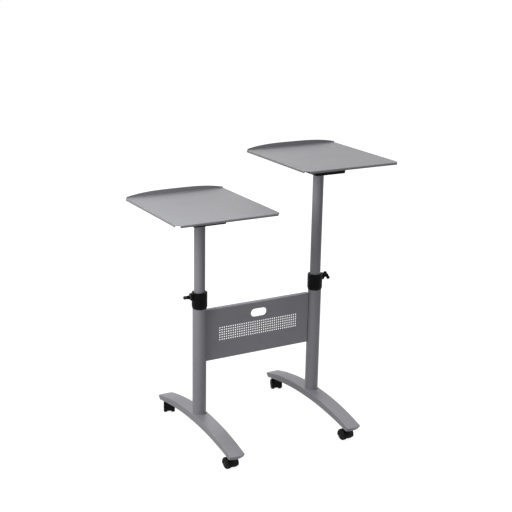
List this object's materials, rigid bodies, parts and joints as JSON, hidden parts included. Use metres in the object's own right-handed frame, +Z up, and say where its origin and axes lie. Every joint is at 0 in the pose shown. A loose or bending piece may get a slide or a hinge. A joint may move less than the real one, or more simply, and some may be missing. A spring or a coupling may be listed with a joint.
{
  "type": "multimedia table",
  "caption": "Mobile presentation table: telescopic round posts on arched castor feet, perforated panel between, tilting sheet-steel trays with a stop lip.",
  "frame": {"origin": "on the floor, midway between the two posts", "axes": "+X along the panel from the lower tray to the higher one, +Y towards the stop lips, +Z up"},
  "size_m": [0.874, 0.6, 1.042],
  "materials": {
    "grey_paint": "silver-grey satin powder coat",
    "tray_paint": "silver-grey satin powder coat",
    "black_paint": "black fine-texture powder coat",
    "black_plastic": "black moulded plastic",
    "castor_plastic": "black moulded nylon",
    "castor_tread": "black castor wheel with soft tread",
    "zinc": "zinc-plated steel"
  },
  "bodies": {
    "stand": {"left_foot": "grey_paint", "right_foot": "grey_paint", "left_lower_tube": "grey_paint", "right_lower_tube": "grey_paint", "panel": "grey_paint", "left_collar": "black_plastic", "right_collar": "black_plastic"},
    "left_post": {"left_upper_tube": "grey_paint", "left_glide": "black_plastic", "left_post_head": "black_paint"},
    "left_tray_unit": {"left_bracket": "black_paint", "left_pivot_bolt": "zinc", "left_tray": "tray_paint"},
    "left_clamp": {"left_clamp_screw": "zinc", "left_clamp_handle": "black_plastic"},
    "right_post": {"right_upper_tube": "grey_paint", "right_glide": "black_plastic", "right_post_head": "black_paint"},
    "right_tray_unit": {"right_bracket": "black_paint", "right_pivot_bolt": "zinc", "right_tray": "tray_paint"},
    "right_clamp": {"right_clamp_screw": "zinc", "right_clamp_handle": "black_plastic"},
    "front_left_castor": {"front_left_hood": "castor_plastic", "front_left_stem": "zinc"},
    "front_left_wheel_pair": {"front_left_wheels": "castor_tread", "front_left_axle": "zinc"},
    "rear_left_castor": {"rear_left_hood": "castor_plastic", "rear_left_stem": "zinc"},
    "rear_left_wheel_pair": {"rear_left_wheels": "castor_tread", "rear_left_axle": "zinc"},
    "front_right_castor": {"front_right_hood": "castor_plastic", "front_right_stem": "zinc"},
    "front_right_wheel_pair": {"front_right_wheels": "castor_tread", "front_right_axle": "zinc"},
    "rear_right_castor": {"rear_right_hood": "castor_plastic", "rear_right_stem": "zinc"},
    "rear_right_wheel_pair": {"rear_right_wheels": "castor_tread", "rear_right_axle": "zinc"}
  },
  "joints": [
    {"name": "left_post_slide", "type": "slide", "parent": "stand", "child": "left_post", "axis": [0, 0, 1], "range_m": [-0.182, 0.158]},
    {"name": "left_tray_tilt", "type": "hinge", "parent": "left_post", "child": "left_tray_unit", "pos_m": [-0.242, 0, 0.858], "axis": [-1, 0, 0], "range_deg": [0, 20]},
    {"name": "left_clamp_turn", "type": "hinge", "parent": "stand", "child": "left_clamp", "pos_m": [-0.282, 0, 0.56], "axis": [-1, 0, 0], "continuous": true},
    {"name": "right_post_slide", "type": "slide", "parent": "stand", "child": "right_post", "axis": [0, 0, 1], "range_m": [-0.314, 0.026]},
    {"name": "right_tray_tilt", "type": "hinge", "parent": "right_post", "child": "right_tray_unit", "pos_m": [0.242, 0, 0.99], "axis": [-1, 0, 0], "range_deg": [0, 20]},
    {"name": "right_clamp_turn", "type": "hinge", "parent": "stand", "child": "right_clamp", "pos_m": [0.282, 0, 0.56], "axis": [1, 0, 0], "continuous": true},
    {"name": "front_left_swivel", "type": "hinge", "parent": "stand", "child": "front_left_castor", "pos_m": [-0.242, -0.258, 0.045], "axis": [0, 0, 1], "continuous": true},
    {"name": "front_left_roll", "type": "hinge", "parent": "front_left_castor", "child": "front_left_wheel_pair", "pos_m": [-0.24313, -0.24505, 0.02], "axis": [0.9962, 0.0872, 0], "continuous": true},
    {"name": "rear_left_swivel", "type": "hinge", "parent": "stand", "child": "rear_left_castor", "pos_m": [-0.242, 0.258, 0.045], "axis": [0, 0, 1], "continuous": true},
    {"name": "rear_left_roll", "type": "hinge", "parent": "rear_left_castor", "child": "rear_left_wheel_pair", "pos_m": [-0.23671, 0.26988, 0.02], "axis": [0.9135, -0.4067, 0], "continuous": true},
    {"name": "front_right_swivel", "type": "hinge", "parent": "stand", "child": "front_right_castor", "pos_m": [0.242, -0.258, 0.045], "axis": [0, 0, 1], "continuous": true},
    {"name": "front_right_roll", "type": "hinge", "parent": "front_right_castor", "child": "front_right_wheel_pair", "pos_m": [0.24064, -0.24507, 0.02], "axis": [0.9945, 0.1045, 0], "continuous": true},
    {"name": "rear_right_swivel", "type": "hinge", "parent": "stand", "child": "rear_right_castor", "pos_m": [0.242, 0.258, 0.045], "axis": [0, 0, 1], "continuous": true},
    {"name": "rear_right_roll", "type": "hinge", "parent": "rear_right_castor", "child": "rear_right_wheel_pair", "pos_m": [0.24645, 0.27022, 0.02], "axis": [0.9397, -0.342, 0], "continuous": true}
  ]
}
